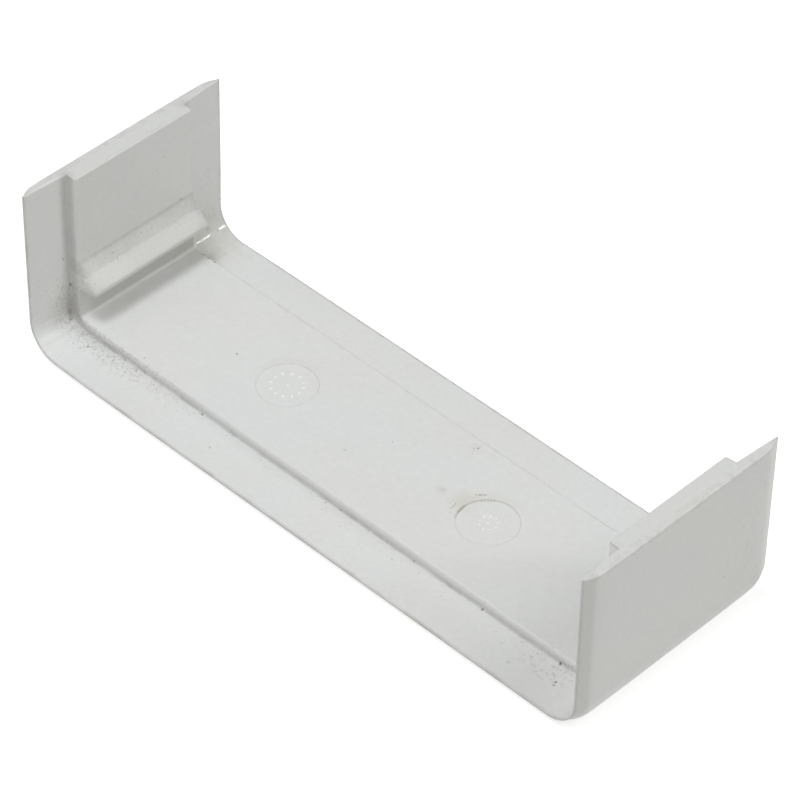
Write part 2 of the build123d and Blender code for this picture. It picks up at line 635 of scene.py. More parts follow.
    def add_edge_wear(self, graph: Graph, colour: Signal, site: Site, form: "Form") -> Signal:
        """Return the colour with warm handled edges and bevels, and scuffs by the right wall's rear edge.

        Args:
            graph: The material's node tree.
            colour: The colour so far.
            site: Where the point being shaded lies.
            form: The moulding's sizes.

        Returns:
            The new colour.
        """
        from_edge = form.half_width - abs(site.y)
        outside = site.depth < self.inside_depth
        bevel = graph.ramp(from_edge, form.edge_bevel + 0.5, form.edge_bevel - 0.4) * outside
        colour = graph.mix(bevel * self.bevel_wear, colour, Soil.RUST.value)
        rim = graph.ramp(from_edge + (site.ragged - 0.5) * 0.5, 0.55, 0.05)
        rim = rim * (1 - 0.8 * graph.ramp(site.x, 49.0, 52.0))
        colour = graph.mix(rim * (self.rim_wear + self.rim_patches * site.patchy), colour, Soil.RUST.value)
        shoulder = graph.ramp(site.z, form.overall_height - 1.0, form.overall_height - 0.4) * outside
        hem = graph.ramp(site.z, 3.2, 1.4) * graph.ramp(site.x, 50.0, 52.0) * outside
        handled = (shoulder + hem) * graph.ramp(site.ragged, 0.42, 0.62)
        colour = graph.mix(handled * self.handled_wear, colour, Soil.RUST.value)
        turn = graph.vector("DISTANCE", site.place, (form.half_length, 5.0, 15.0), "Value")
        sockets = {"X": turn * 2.4, "Y": site.y * 0.2, "Z": site.z * 0.2}
        drawn = graph.signal("ShaderNodeCombineXYZ", None, sockets, "Vector")
        scuffed = graph.ramp(graph.noise(drawn, 1.0, 4.0), 0.48, 0.72)
        zone = graph.ramp(site.x, 53.0, 53.6) * graph.ramp(site.y, 6.0, 15.0)
        return graph.mix(scuffed * zone * self.scuffs, colour, Soil.DUST.value)

    def crumb_share(self, graph: Graph, site: Site, form: "Form") -> Signal:
        """Return how thickly crumbs of dirt lie, from 0 to 1: by the front step, thickest in its two corners.

        Args:
            graph: The material's node tree.
            site: Where the point being shaded lies.
            form: The moulding's sizes.

        Returns:
            The share.
        """
        groove = -form.liner_half_width
        beside = graph.ramp(abs(site.y - (groove - 1.1)), 2.2, 0.4)
        around = graph.ramp(abs(site.y - (groove - 1.6)), 3.6, 0.4)
        left_run = graph.ramp(site.x, -24.0, -40.0)
        left_corner = graph.ramp(site.x, -37.0, -46.0)
        right_corner = graph.ramp(site.x, 36.0, 43.0)
        low = graph.ramp(site.z, 14.0, 3.0)
        inside = 1 - (site.depth < self.inside_depth)
        lie = beside * (0.07 + 0.93 * left_run) + around * (0.45 * left_corner + 0.90 * right_corner)
        off_liner = graph.ramp(site.y, groove + 0.35, groove + 0.1)
        clumped = 0.55 + 0.9 * graph.ramp(graph.noise(site.place, 0.9, 3.0), 0.40, 0.62)
        return (lie * low * inside * off_liner * clumped * graph.ramp(site.x, 48.5, 47.0)).at_most(1.0)

    def add_specks(self, graph: Graph, colour: Signal, site: Site, form: "Form", crumbs: Signal) -> Signal:
        """Return the colour with loose specks, thick among the crumbs and on the left barb, thin elsewhere.

        Args:
            graph: The material's node tree.
            colour: The colour so far.
            site: Where the point being shaded lies.
            form: The moulding's sizes.
            crumbs: How thickly crumbs of dirt lie there.

        Returns:
            The new colour.
        """
        ramp_middle = form.liner_inset + form.barb_gap + 0.8 * form.barb_ramp_height
        on_barb = graph.ramp(abs(site.z - ramp_middle), 3.2, 0.6) * graph.ramp(site.x, -47.0, -49.5)
        on_barb = on_barb * (1 - (site.depth < self.inside_depth))
        right = graph.ramp(site.x, 30.0, 36.0)
        fields = (
            (SpeckField(0.32, 0.15, 1.00, 0.42, Soil.SOOT), crumbs * (1 - 0.9 * right)),
            (SpeckField(0.60, 0.34, 0.90, 0.22, Soil.DUST), crumbs * right),
            (SpeckField(0.50, 0.20, 0.80, 0.44, Soil.RUST), crumbs * (1 - 0.6 * right)),
            (SpeckField(1.30, 0.26, 0.60, 0.66, Soil.SOOT), crumbs * (1 - 0.7 * right)),
            (SpeckField(0.45, 0.15, 0.50, 0.34, Soil.RUST), on_barb),
            (SpeckField(1.60, 0.11, 0.09, 0.34, Soil.DUST), 1.0),
        )
        blotched = graph.ramp(graph.noise(site.place, 1.5, 4.0), 0.53, 0.64) * crumbs
        colour = graph.mix(blotched * self.crumb_blotches, colour, Soil.DUST.value)
        for field, density in fields:
            sockets = {"Vector": site.place, "Scale": 1 / field.cell, "Randomness": 1.0}
            cells = graph.node("ShaderNodeTexVoronoi", {"feature": "F1"}, sockets)
            gap = Signal(graph, graph.find(cells.outputs, "Distance"))
            chance, size, _ = graph.split(Signal(graph, graph.find(cells.outputs, "Color")))
            radius = (0.45 + 0.55 * size) * (field.radius / field.cell)
            body = graph.ramp(gap / radius, 1.0, 0.25)
            kept = chance < density * field.share
            colour = graph.mix(body * kept * field.strength, colour, field.soil.value)
        return colour

    def add_spots(self, graph: Graph, colour: Signal, site: Site) -> Signal:
        """Return the colour with the single marks, each with a ragged edge.

        Args:
            graph: The material's node tree.
            colour: The colour so far.
            site: Where the point being shaded lies.

        Returns:
            The new colour.
        """
        drift = graph.vector("SUBTRACT", graph.noise(site.place, 1.6, 3.0, "Color"), (0.5, 0.5, 0.5))
        for spot in self.spots:
            moved = graph.vector("ADD", site.place, graph.vector("SCALE", drift, spot.reach * 1.3))
            away = graph.vector("DISTANCE", moved, spot.place, "Value")
            mask = graph.ramp(away, spot.reach, spot.reach * 0.3)
            colour = graph.mix(mask * spot.strength, colour, spot.soil.value)
        return colour

    def add_insert_dirt(self, graph: Graph, colour: Signal, site: Site, form: "Form") -> Signal:
        """Return the colour with the dirt that outlines the two round inserts, heavier on the right one."""
        for side, line_strength, smear_strength in zip((-1, 1), self.insert_lines, self.insert_smears):
            centre = (side * form.insert_spacing / 2, 0.0, form.liner_inset)
            spoke = graph.vector("SUBTRACT", site.place, centre)
            radius = graph.vector("DISTANCE", site.place, centre, "Value")
            x, y, _ = graph.split(spoke)
            facing = (y * 0.68 - x * 0.73) / radius.at_least(0.1)
            sector = graph.ramp(facing + (site.ragged - 0.5) * 0.5, 0.2, 0.98)
            off_ring = abs(radius - form.insert_radius)
            line = graph.ramp(off_ring, 0.17, 0.03) * (0.22 + 0.78 * sector)
            outside = abs(radius - form.insert_radius - 0.7) + (site.ragged - 0.5) * 1.2
            smear = graph.ramp(outside, 1.1, 0.1) * sector
            colour = graph.mix(smear * smear_strength, colour, Soil.OIL.value)
            colour = graph.mix(line * line_strength, colour, Soil.RUST.value)
        return colour

    def rubbed_share(self, graph: Graph, site: Site) -> Signal:
        """Return 1 in the two places of the rear left bend that are rubbed smooth, and 0 elsewhere.

        Args:
            graph: The material's node tree.
            site: Where the point being shaded lies.

        Returns:
            The mask.
        """
        first = graph.ramp(abs(site.y - 14.1), 1.5, 1.3)
        second = graph.ramp(abs(site.y - 17.9), 0.9, 0.7)
        bend = graph.ramp(site.x, -47.0, -48.5) * graph.ramp(site.z, 8.0, 6.5)
        return (first + second) * bend * (1 - (site.depth < self.inside_depth))

    def sheen(self, graph: Graph, site: Site, rubbed: Signal) -> Signal:
        """Return the roughness: satin with slow swells, and smooth where it is rubbed."""
        satin = self.roughness + self.roughness_swing * (graph.noise(site.place, 0.35) - 0.5)
        return satin + rubbed * (self.polished_roughness - satin)

    def grain(self, graph: Graph, site: Site, crumbs: Signal, rubbed: Signal) -> Signal:
        """Return the normal of the moulded surface: a fine grain with shallow scuffs, rough where crumbs lie.

        Args:
            graph: The material's node tree.
            site: Where the point being shaded lies.
            crumbs: How thickly crumbs of dirt lie there.
            rubbed: 1 where the plastic is rubbed smooth.

        Returns:
            The normal.
        """
        fine = graph.noise(site.place, 3.0, 3.0)
        stretched = graph.vector("MULTIPLY", site.place, (0.25, 2.2, 2.2))
        scuff = graph.ramp(graph.noise(stretched, 1.0, 5.0), 0.66, 0.74)
        lumps = graph.ramp(graph.noise(site.place, 1.7, 3.0), 0.45, 0.75) * crumbs
        height = (fine - scuff * 0.9) * (1 - rubbed) + lumps * (self.crumb_height / self.grain_height)
        sockets = {"Strength": 1.0, "Distance": self.grain_height * MM, "Height": height}
        return graph.signal("ShaderNodeBump", None, sockets, "Normal")


def run_to(start: Sequence[float], end: Sequence[float], steps: int) -> np.ndarray:
    """Return the points of a straight run after its start, evenly spaced, up to and with its end."""
    shares = np.linspace(0, 1, steps + 1)[1:, None]
    return np.asarray(start) + shares * (np.asarray(end) - np.asarray(start))


def arc_to(centre: Sequence[float], radius: float, first: float, last: float, steps: int) -> np.ndarray:
    """Return the points of an arc after its first angle, in degrees, up to and with its last."""
    angles = np.radians(np.linspace(first, last, steps + 1)[1:])
    return np.asarray(centre) + radius * np.column_stack((np.cos(angles), np.sin(angles)))


@dataclass(frozen=True)
class Cut:
    """A cut across the moulding: where its two skins lie and how far they are from the outside.

    Attributes:
        outer_y: Place of the outer skin's points.
        outer_inset: How far the outer skin is drawn in.
        inner_y: Place of the inner skin's points.
        inner_inset: How far the inner skin is drawn in.
        inner_radius: Radius of the inner skin's corner.
        barb_share: How much of its full reach the barb has.
    """

    outer_y: float
    outer_inset: float
    inner_y: float
    inner_inset: float
    inner_radius: float
    barb_share: float


@dataclass(frozen=True)
class Form:
    """Sizes of the moulding, in millimetres."""

    overall_length: float
    overall_width: float
    overall_height: float
    shell_wall: float = 1.75
    bend_outer_radius: float = 6.0
    bend_inner_radius: float = 2.6
    top_edge_round: float = 0.25
    rim_width: float = 7.6
    rim_taper: float = 0.5
    edge_bevel: float = 1.7
    edge_land: float = 0.3
    bevel_softness: float = 0.24
    outer_top_round: float = 0.18
    liner_wall: float = 1.75
    liner_corner_radius: float = 0.7
    liner_edge_round: float = 0.3
    step_foot_round: float = 0.35
    barb_reach: float = 3.3
    barb_gap: float = 5.83
    barb_ramp_height: float = 3.95
    barb_tip_land: float = 0.72
    barb_ledge_drop: float = 0.4
    barb_blend_radius: float = 1.4
    barb_tip_round: float = 0.12
    barb_end_round: float = 0.8
    barb_top_round: float = 2.3
    insert_radius: float = 4.5
    insert_spacing: float = 39.2
    insert_depth: float = 0.12
    front_waist: float = 0.22
    rear_waist: float = 0.14
    waist_reach: float = 8.0

    @property
    def half_length(self) -> float:
        """Half of the length, from wall to wall."""
        return self.overall_length / 2

    @property
    def half_width(self) -> float:
        """Half of the width, from rim to rim."""
        return self.overall_width / 2

    @property
    def liner_half_width(self) -> float:
        """Half of the liner's width."""
        return self.half_width - self.rim_width

    @property
    def liner_inset(self) -> float:
        """Depth of the liner's face below the outside."""
        return self.shell_wall + self.liner_wall

    @property
    def rim_edge_wall(self) -> float:
        """Thickness left at the rim's free edge, before its bevel."""
        return self.shell_wall - self.rim_taper

    @property
    def edge_inset(self) -> float:
        """How far the bevel draws in the outer skin at the rim's free edge."""
        return self.rim_edge_wall - self.edge_land


class Moulding:
    """The connector itself: a U-shaped shell with a stepped liner, tapered rims and two snap barbs."""

    PATCH_STEPS = 24
    PATCH_HALF = 6.0
    MIDDLE_STEPS = 10
    OUTER_STEPS = 14
    FLOOR_STEPS = PATCH_STEPS + MIDDLE_STEPS + OUTER_STEPS
    BEND_STEPS = 12
    ROUND_STEPS = 4
    TOP_STEPS = 2
    RIM_ROWS = (0.0, 0.3, 0.7, 1.1, 1.4, 1.6, 1.75, 1.9, 2.1, 2.5, 3.2, 4.4, 5.6, 6.6)
    LINER_ROWS = (0.45, 0.65, 0.9, 1.2, 1.6, 2.0, 2.4, 3.3, 4.3)
    INSERT_RINGS = (
        (0.6, 0.0), (0.2, 0.0), (0.1, 0.03), (0.04, 0.22), (0.0, 0.5),
        (-0.04, 0.78), (-0.1, 0.97), (-0.2, 1.0), (-1.5, 1.0), (-3.0, 1.0),
    )

    def __init__(self, form: Form) -> None:
        """Keep the sizes and work out the barb's outline."""
        self.form = form
        self.barb = self.barb_outline()
        full_path = self.wall_path(form.liner_inset, form.liner_corner_radius, 1.0, form.half_width)
        self.wall_steps = len(full_path) - 1

    def barb_outline(self) -> np.ndarray:
        """Return the barb's section from the blend's top to the ledge's root, as reach and height.

        Returns:
            The points, from top to bottom.
        """
        form = self.form
        tip_bottom = form.liner_inset + form.barb_gap
        tip_top = tip_bottom + form.barb_tip_land
        ramp_top = tip_top + form.barb_ramp_height
        slope = math.atan2(form.barb_reach, form.barb_ramp_height)
        blend = form.barb_blend_radius
        blend_top = ramp_top + blend * math.tan(slope / 2)
        turn = math.degrees(slope)
        rounding = form.barb_tip_round
        tip = form.barb_reach
        points = [
            np.array([[0.0, blend_top]]),
            arc_to((blend, blend_top), blend, 180.0, 180.0 + turn, 8),
        ]
        ramp_end = np.array((tip, tip_top)) + rounding * np.array((-math.sin(slope), math.cos(slope)))
        points.append(run_to(points[-1][-1], ramp_end, 5))
        points.append(run_to(ramp_end, (tip, tip_top - rounding), 2))
        points.append(run_to((tip, tip_top - rounding), (tip, tip_bottom + rounding), 1))
        points.append(run_to((tip, tip_bottom + rounding), (tip - rounding, tip_bottom), 2))
        points.append(run_to((tip - rounding, tip_bottom), (0.0, tip_bottom - form.barb_ledge_drop), 5))
        return np.vstack(points)

    def wall_path(self, inset: float, radius: float, barb_share: float, gap: float) -> np.ndarray:
        """Return the inner skin of the right wall, from its top round down to its corner.

        Args:
            inset: How far the skin is drawn in from the outside.
            radius: Radius of the corner below.
            barb_share: How much of its full reach the barb has.
            gap: Distance to the nearer end of the barb.

        Returns:
            The points, as length and height.
        """
        form = self.form
        top = (0.0, form.overall_height - self.top_round(inset))
        foot = (0.0, inset + radius)
        above = run_to(top, self.barb[0], 8)
        below = run_to(self.barb[-1], foot, 5)
        outline = np.vstack((top, above, self.barb[1:], below))
        strides = np.hypot(*np.diff(outline, axis=0).T)
        travelled = np.concatenate(([0.0], np.cumsum(strides))) / strides.sum()
        straight = top[1] + travelled * (foot[1] - top[1])
        reach = barb_share * self.rounded_reach(outline, gap)
        height = straight + barb_share * (outline[:, 1] - straight)
        return np.column_stack((form.half_length - inset - reach, height))

    def rounded_reach(self, outline: np.ndarray, gap: float) -> np.ndarray:
        """Return the barb's reach at a distance from its end, which is rounded, and more so up the ramp.

        Args:
            outline: The barb's section, as reach and height.
            gap: Distance to the nearer end of the barb.

        Returns:
            The reach of each point.
        """
        form = self.form
        reach, height = outline.T
        tip_top = form.liner_inset + form.barb_gap + form.barb_tip_land
        up = np.clip((height - tip_top) / form.barb_ramp_height, 0, 1)
        radius = form.barb_end_round + up * (form.barb_top_round - form.barb_end_round)
        into = np.clip(radius - gap, 0, radius)
        drop = radius - np.sqrt(radius ** 2 - into ** 2)
        return reach - drop * np.minimum(1, reach / radius)

    def top_round(self, inset: float) -> float:
        """Return the radius of the inner skin's top edge, which is smaller on the thin rims."""
        full = self.form.top_edge_round
        return full if inset > self.form.shell_wall else full / 2

    def floor_path(self, start: float, height: float) -> np.ndarray:
        """Return a floor's points from start to the middle, with lines at the borders of the insert's patch.

        Args:
            start: Where along the length the path starts.
            height: Height of the floor.

        Returns:
            The points, as length and height.
        """
        middle = self.form.insert_spacing / 2
        borders = (start, middle + self.PATCH_HALF, middle - self.PATCH_HALF, 0.0)
        counts = (self.OUTER_STEPS, self.PATCH_STEPS, self.MIDDLE_STEPS)
        runs = [run_to((a, height), (b, height), n) for a, b, n in zip(borders, borders[1:], counts)]
        return np.vstack(runs)

    def outer_path(self, inset: float) -> np.ndarray:
        """Return the right half of the outer skin, from under the middle to the wall's top.

        Args:
            inset: How far the skin is drawn in from the outside.

        Returns:
            The points, as length and height.
        """
        form = self.form
        radius = form.bend_outer_radius - inset
        wall = form.half_length - inset
        start = wall - radius
        floor = np.vstack(((start, inset), self.floor_path(start, inset)))[::-1]
        rounding = min(form.outer_top_round, form.edge_land / 2 + 0.6 * (form.edge_inset - inset))
        shoulder = form.overall_height - rounding
        return np.vstack((
            floor,
            arc_to((start, inset + radius), radius, -90, 0, self.BEND_STEPS),
            run_to((wall, inset + radius), (wall, shoulder), self.wall_steps),
            arc_to((wall - rounding, shoulder), rounding, 0, 90, self.ROUND_STEPS),
        ))

    def inner_path(self, cut: Cut) -> np.ndarray:
        """Return the right half of the inner skin, from the wall's top to the middle of the floor.

        Args:
            cut: The cut to draw.

        Returns:
            The points, as length and height.
        """
        form = self.form
        inset, radius = cut.inner_inset, cut.inner_radius
        wall = form.half_length - inset
        thickness = inset - cut.outer_inset
        rounding = min(self.top_round(inset), 0.4 * thickness)
        shoulder = form.overall_height - rounding
        gap = form.liner_half_width - abs(cut.inner_y)
        side = self.wall_path(inset, radius, cut.barb_share, gap)
        return np.vstack((
            (wall + rounding, form.overall_height),
            arc_to((wall + rounding, shoulder), rounding, 90, 180, self.ROUND_STEPS),
            side[1:],
            arc_to((wall - radius, inset + radius), radius, 0, -90, self.BEND_STEPS),
            self.floor_path(wall - radius, inset),
        ))

    def loop(self, cut: Cut) -> np.ndarray:
        """Return the closed outline of a cut, as points in space, right half first and then the left.

        Args:
            cut: The cut to draw.

        Returns:
            The points, in order.
        """
        outer = self.outer_path(cut.outer_inset)
        inner = self.inner_path(cut)
        outer = np.insert(outer, 1, cut.outer_y, axis=1)
        inner = np.insert(inner, 1, cut.inner_y, axis=1)
        top = run_to(outer[-1], inner[0], self.TOP_STEPS)[:-1]
        half = np.vstack((outer, top, inner))
        return self.draw_in(np.vstack((half, (half * (-1, 1, 1))[-2:0:-1])))

    def draw_in(self, points: np.ndarray) -> np.ndarray:
        """Return the points with the free edges drawn in a little at the left bend, as by shrinking.

        Args:
            points: Points in space.

        Returns:
            The moved points.
        """
        form = self.form
        x, y, z = points.T
        bend = form.bend_outer_radius * (1 - math.sqrt(0.5))
        front = y < 0
        rise = np.where(front, 3.0, 1.0) * form.waist_reach
        apart = np.hypot((x + form.half_length - bend) / form.waist_reach, (z - bend) / rise)
        depth = np.where(front, form.front_waist, form.rear_waist)
        shrunk = depth * np.exp(-apart ** 2) * (np.abs(y) / form.half_width) ** 4
        return np.column_stack((x, y - np.sign(y) * shrunk, z))

    def bevel_inset(self, y: float) -> float:
        """Return how far the bevel draws in the outer skin at y, with its corner softened.

        Args:
            y: Place across the width.

        Returns:
            The inset there.
        """
        form = self.form
        start = form.half_width - form.edge_bevel
        rise = (abs(y) - start) * form.edge_inset / form.edge_bevel
        eased = (rise + math.hypot(rise, 2 * form.bevel_softness)) / 2
        return min(eased, form.edge_inset)

    def front_cuts(self) -> list[Cut]:
        """Return the cuts from the front edge to the middle.

        Returns:
            The cuts, in order.
        """
        form = self.form
        edge, step = -form.half_width, -form.liner_half_width
        foot, brow = form.step_foot_round, form.liner_edge_round
        rows: list[tuple[float, float, float]] = []
        for y in (*self.RIM_ROWS, form.rim_width - foot):
            rows.append((edge + y, form.rim_edge_wall + form.rim_taper * y / form.rim_width, 0.0))
        low = rows[-1][1]
        for turn in np.radians(np.linspace(0, 90, 5)[1:]):
            rows.append((step - foot + foot * math.sin(turn), low + foot * (1 - math.cos(turn)), 0.0))
        high = form.liner_inset - brow
        rows.append((step, (rows[-1][1] + high) / 2, 0.5))
        for turn in np.radians(np.linspace(0, 90, 6)):
            y = step + brow * (1 - math.cos(turn))
            rows.append((y, high + brow * math.sin(turn), 1.0))
        for y in self.LINER_ROWS:
            rows.append((step + y, form.liner_inset, 1.0))
        for y in np.linspace(-self.PATCH_HALF, 0, self.PATCH_STEPS // 2 + 1):
            rows.append((float(y), form.liner_inset, 1.0))
        return self.spread_outer_skin(rows)

    def spread_outer_skin(self, rows: list[tuple[float, float, float]]) -> list[Cut]:
        """Return the cuts for rows of inner y, inset and barb share, the outer skin's points spread evenly.

        Args:
            rows: The inner skin's rows; several of them share one y at the liner's step.

        Returns:
            One cut for each row.
        """
        form = self.form
        inner_y = np.array([row[0] for row in rows])
        outer_y = inner_y.copy()
        first = int(np.searchsorted(inner_y, -form.liner_half_width - 1.0))
        last = int(np.searchsorted(inner_y, -form.liner_half_width + 1.0))
        outer_y[first:last + 1] = np.linspace(inner_y[first], inner_y[last], last - first + 1)
        cuts = []
        for (y, inset, share), flat_y in zip(rows, outer_y):
            drawn_in = self.bevel_inset(flat_y)
            radius = self.corner_radius(inset)
            cuts.append(Cut(float(flat_y), drawn_in, y, inset, radius, share))
        return cuts

    def corner_radius(self, inset: float) -> float:
        """Return the inner corner's radius at a depth: wide at the rim's edge, narrow on the liner.

        Args:
            inset: How far the skin is drawn in from the outside.

        Returns:
            The radius there.
        """
        form = self.form
        depths = (form.rim_edge_wall, form.shell_wall, form.liner_inset)
        edge_radius = form.bend_outer_radius - form.rim_edge_wall
        radii = (edge_radius, form.bend_inner_radius, form.liner_corner_radius)
        return float(np.interp(inset, depths, radii))

    def cuts(self) -> list[Cut]:
        """Return all the cuts from the front edge to the rear edge.

        Returns:
            The cuts, in order.
        """
        front = self.front_cuts()
        rear = [
            Cut(-c.outer_y, c.outer_inset, -c.inner_y, c.inner_inset, c.inner_radius, c.barb_share)
            for c in reversed(front[:-1])
        ]
        return front + rear

    def build(self) -> bpy.types.Object:
        """Build the moulding as one closed mesh and return its object.

        Returns:
            The new object.
        """
        cuts = self.cuts()
        loops = np.array([self.loop(cut) for cut in cuts])
        rows, around = loops.shape[:2]
        shell = bmesh.new()
        grid = [[shell.verts.new(Vector(p) * MM) for p in loop] for loop in loops]
        holes = self.patch_ranges(cuts, around)
        for row in range(rows - 1):
            for step in range(around):
                if any(row in lines and step in columns for lines, columns in holes):
                    continue
                after = (step + 1) % around
                near, far = grid[row], grid[row + 1]
                shell.faces.new((near[step], near[after], far[after], far[step]))
        for row in (0, rows - 1):
            self.close_end(shell, grid[row])
        for (lines, columns), side in zip(holes, (1, -1)):
            self.fill_patch(shell, grid, lines, columns, side)
        loose = [v for v in shell.verts if not v.link_faces]
        bmesh.ops.delete(shell, geom=loose, context="VERTS")
        bmesh.ops.recalc_face_normals(shell, faces=shell.faces)
        return finish_mesh(shell, "connector_moulding")

    def patch_ranges(self, cuts: list[Cut], around: int) -> list[tuple[range, range]]:
        """Return the rows and steps of the floor that each insert takes up, the right one first.

        Args:
            cuts: All the cuts, from front to rear.
            around: How many points a loop has.

        Returns:
            The rows and steps of each.
        """
        first_row = next(i for i, cut in enumerate(cuts) if abs(cut.inner_y + self.PATCH_HALF) < 1e-9)
        lines = range(first_row, first_row + self.PATCH_STEPS)
        floor_end = around // 2
        right_end = floor_end - self.MIDDLE_STEPS
        right = range(right_end - self.PATCH_STEPS, right_end)
        left = range(floor_end + self.MIDDLE_STEPS, floor_end + self.MIDDLE_STEPS + self.PATCH_STEPS)
        return [(lines, right), (lines, left)]

    def close_end(self, shell: bmesh.types.BMesh, loop: list[bmesh.types.BMVert]) -> None:
        """Close the thin end face between the outer and the inner skin at a free edge.

        Args:
            shell: The mesh under construction.
            loop: The points around the free edge.
        """
        around = len(loop)
        pairs = self.FLOOR_STEPS + self.BEND_STEPS + self.wall_steps
        middle = around // 2
        for step in range(pairs):
            for near, far in (
                ((step, step + 1), (middle - step - 1, middle - step)),
                ((-step - 1, -step), (middle + step, middle + step + 1)),
            ):
                corners = [loop[i % around] for i in (*near, *far)]
                shell.faces.new(corners)
        for top in (range(pairs, middle - pairs + 1), range(middle + pairs, around - pairs + 1)):
            shell.faces.new([loop[i] for i in top])

    def fill_patch(
        self,
        shell: bmesh.types.BMesh,
        grid: list[list[bmesh.types.BMVert]],
        lines: range,
        columns: range,
        side: int,
    ) -> None:
        """Fill one square of the floor with a round disc sunk into it.

        Args:
            shell: The mesh under construction.
            grid: The mesh's points, by row and step.
            lines: Rows of the square.
            columns: Steps of the square.
            side: 1 for the right disc, -1 for the left one.
        """
        form = self.form
        first, last = lines.start, lines.stop
        left, right = columns.start, columns.stop
        border = [grid[first][c] for c in range(left, right)]
        border += [grid[r][right] for r in range(first, last)]
        border += [grid[last][c] for c in range(right, left, -1)]
        border += [grid[r][left] for r in range(last, first, -1)]
        middle = Vector((side * form.insert_spacing / 2, 0.0, form.liner_inset))
        angles = [math.atan2(v.co.y, v.co.x - middle.x * MM) for v in border]
        ring = border
        for spread, sunk in self.INSERT_RINGS:
            radius = form.insert_radius + spread
            drop = Vector((0, 0, -sunk * form.insert_depth))
            spokes = [Vector((math.cos(a), math.sin(a), 0)) for a in angles]
            inner = [shell.verts.new((middle + spoke * radius + drop) * MM) for spoke in spokes]
            for i, vert in enumerate(ring):
                after = (i + 1) % len(ring)
                shell.faces.new((vert, ring[after], inner[after], inner[i]))
            ring = inner
        hub = shell.verts.new((middle + Vector((0, 0, -form.insert_depth))) * MM)
        for i, vert in enumerate(ring):
            shell.faces.new((vert, ring[(i + 1) % len(ring)], hub))


@dataclass(frozen=True)
class InsertMarks:
    """Small raised marks on the two round inserts: a dial of ticks on the left, a ring of dots on the right.

    Attributes:
        form: The moulding's sizes.
        tick_count: Ticks on the dial.
        tick_ring: Radius of the dial, to the middle of its ticks.
        tick_length: Length of a tick between the middles of its round ends.
        dot_count: Dots in the ring.
        dot_ring: Radius of the ring of dots.
        width: Width of a tick, and of a dot.
        height: How far a mark stands up from its insert.
        sunk: How far a mark goes into its insert.
        shoulder: How far a mark's top is drawn in.
    """

    form: Form
    tick_count: int = 12
    tick_ring: float = 2.4
    tick_length: float = 0.2
    dot_count: int = 9
    dot_ring: float = 1.35
    width: float = 0.40
    height: float = 0.08
    sunk: float = 0.04
    shoulder: float = 0.15

    END_STEPS = 6

    def build(self) -> bpy.types.Object:
        """Build the marks of both inserts as one mesh and return its object.

        Returns:
            The new object.
        """
        shell = bmesh.new()
        middle = self.form.insert_spacing / 2
        for turn in np.linspace(0, 2 * math.pi, self.tick_count, endpoint=False):
            self.add_mark(shell, -middle, float(turn), self.tick_ring, self.tick_length)
        for turn in np.linspace(0, 2 * math.pi, self.dot_count, endpoint=False):
            self.add_mark(shell, middle, float(turn), self.dot_ring, 0.0)
        for side in (-middle, middle):
            self.add_mark(shell, side, 0.0, 0.0, 0.0)
        bmesh.ops.recalc_face_normals(shell, faces=shell.faces)
        return finish_mesh(shell, "insert_marks")

    def add_mark(
        self,
        shell: bmesh.types.BMesh,
        middle: float,
        turn: float,
        ring: float,
        length: float,
    ) -> None:
        """Add one round-ended bar that points at the middle of its insert.

        Args:
            shell: The mesh under construction.
            middle: Place of the insert along the part's length.
            turn: Where on its ring the bar stands, as an angle.
            ring: Radius of the ring.
            length: Length of the bar between the middles of its ends; at 0 it is a dot.
        """
        floor = self.form.liner_inset - self.form.insert_depth
        spoke = Vector((math.cos(turn), math.sin(turn), 0.0))
        across = Vector((-math.sin(turn), math.cos(turn), 0.0))
        centre = Vector((middle, 0.0, floor)) + spoke * ring
        angles = [math.pi * ((step + 0.5) / self.END_STEPS - 0.5) for step in range(self.END_STEPS)]
        rows = []
        levels = ((-self.sunk, 0.0), (0.5 * self.height, 0.0), (0.9 * self.height, 0.4), (self.height, 1.0))
        for level, drawn_in in levels:
            half = self.width / 2 - drawn_in * self.shoulder
            row = []
            for end in (1, -1):
                for angle in angles:
                    out = end * (length / 2 + half * math.cos(angle))
                    aside = end * half * math.sin(angle)
                    row.append(centre + spoke * out + across * aside + Vector((0.0, 0.0, level)))
            rows.append([shell.verts.new(point * MM) for point in row])
        for low, high in zip(rows, rows[1:]):
            for i in range(len(low)):
                after = (i + 1) % len(low)
                shell.faces.new((low[i], low[after], high[after], high[i]))
        shell.faces.new(rows[0][::-1])
        shell.faces.new(rows[-1])


def finish_mesh(shell: bmesh.types.BMesh, name: str) -> bpy.types.Object:
    """Turn a bmesh into an object with smooth shading that keeps flat faces flat.

    Args:
        shell: The finished bmesh, which is freed.
        name: Name of the new object and its mesh.

    Returns:
        The object, linked to the scene.
    """
    mesh = bpy.data.meshes.new(name)
    shell.to_mesh(mesh)
    shell.free()
    mesh.shade_smooth()
    piece = bpy.data.objects.new(name, mesh)
    bpy.context.scene.collection.objects.link(piece)
    weighted = piece.modifiers.new("flat faces stay flat", "WEIGHTED_NORMAL")
    weighted.keep_sharp = True
    return piece


@dataclass(frozen=True)
class Softbox:
    """A round studio lamp that looks at the part.

    Attributes:
        name: What the lamp does.
        direction: Where it stands, seen from the part.
        distance: How far away it stands, in metres.
        size: Its width, in metres.
        power: Its power, in watts.
        tint: Its colour.
    """

    name: str
    direction: Point
    distance: float
    size: float
    power: float
    tint: Colour = (1.0, 1.0, 1.0)

    def place(self) -> None:
        """Hang the lamp."""
        lamp = bpy.data.lights.new(self.name, "AREA")
        lamp.shape = "DISK"
        lamp.size = self.size
        lamp.energy = self.power
        lamp.color = self.tint
        holder = bpy.data.objects.new(self.name, lamp)
        away = Vector(self.direction).normalized()
        holder.location = away * self.distance
        holder.rotation_euler = away.to_track_quat("Z", "Y").to_euler()
        bpy.context.scene.collection.objects.link(holder)


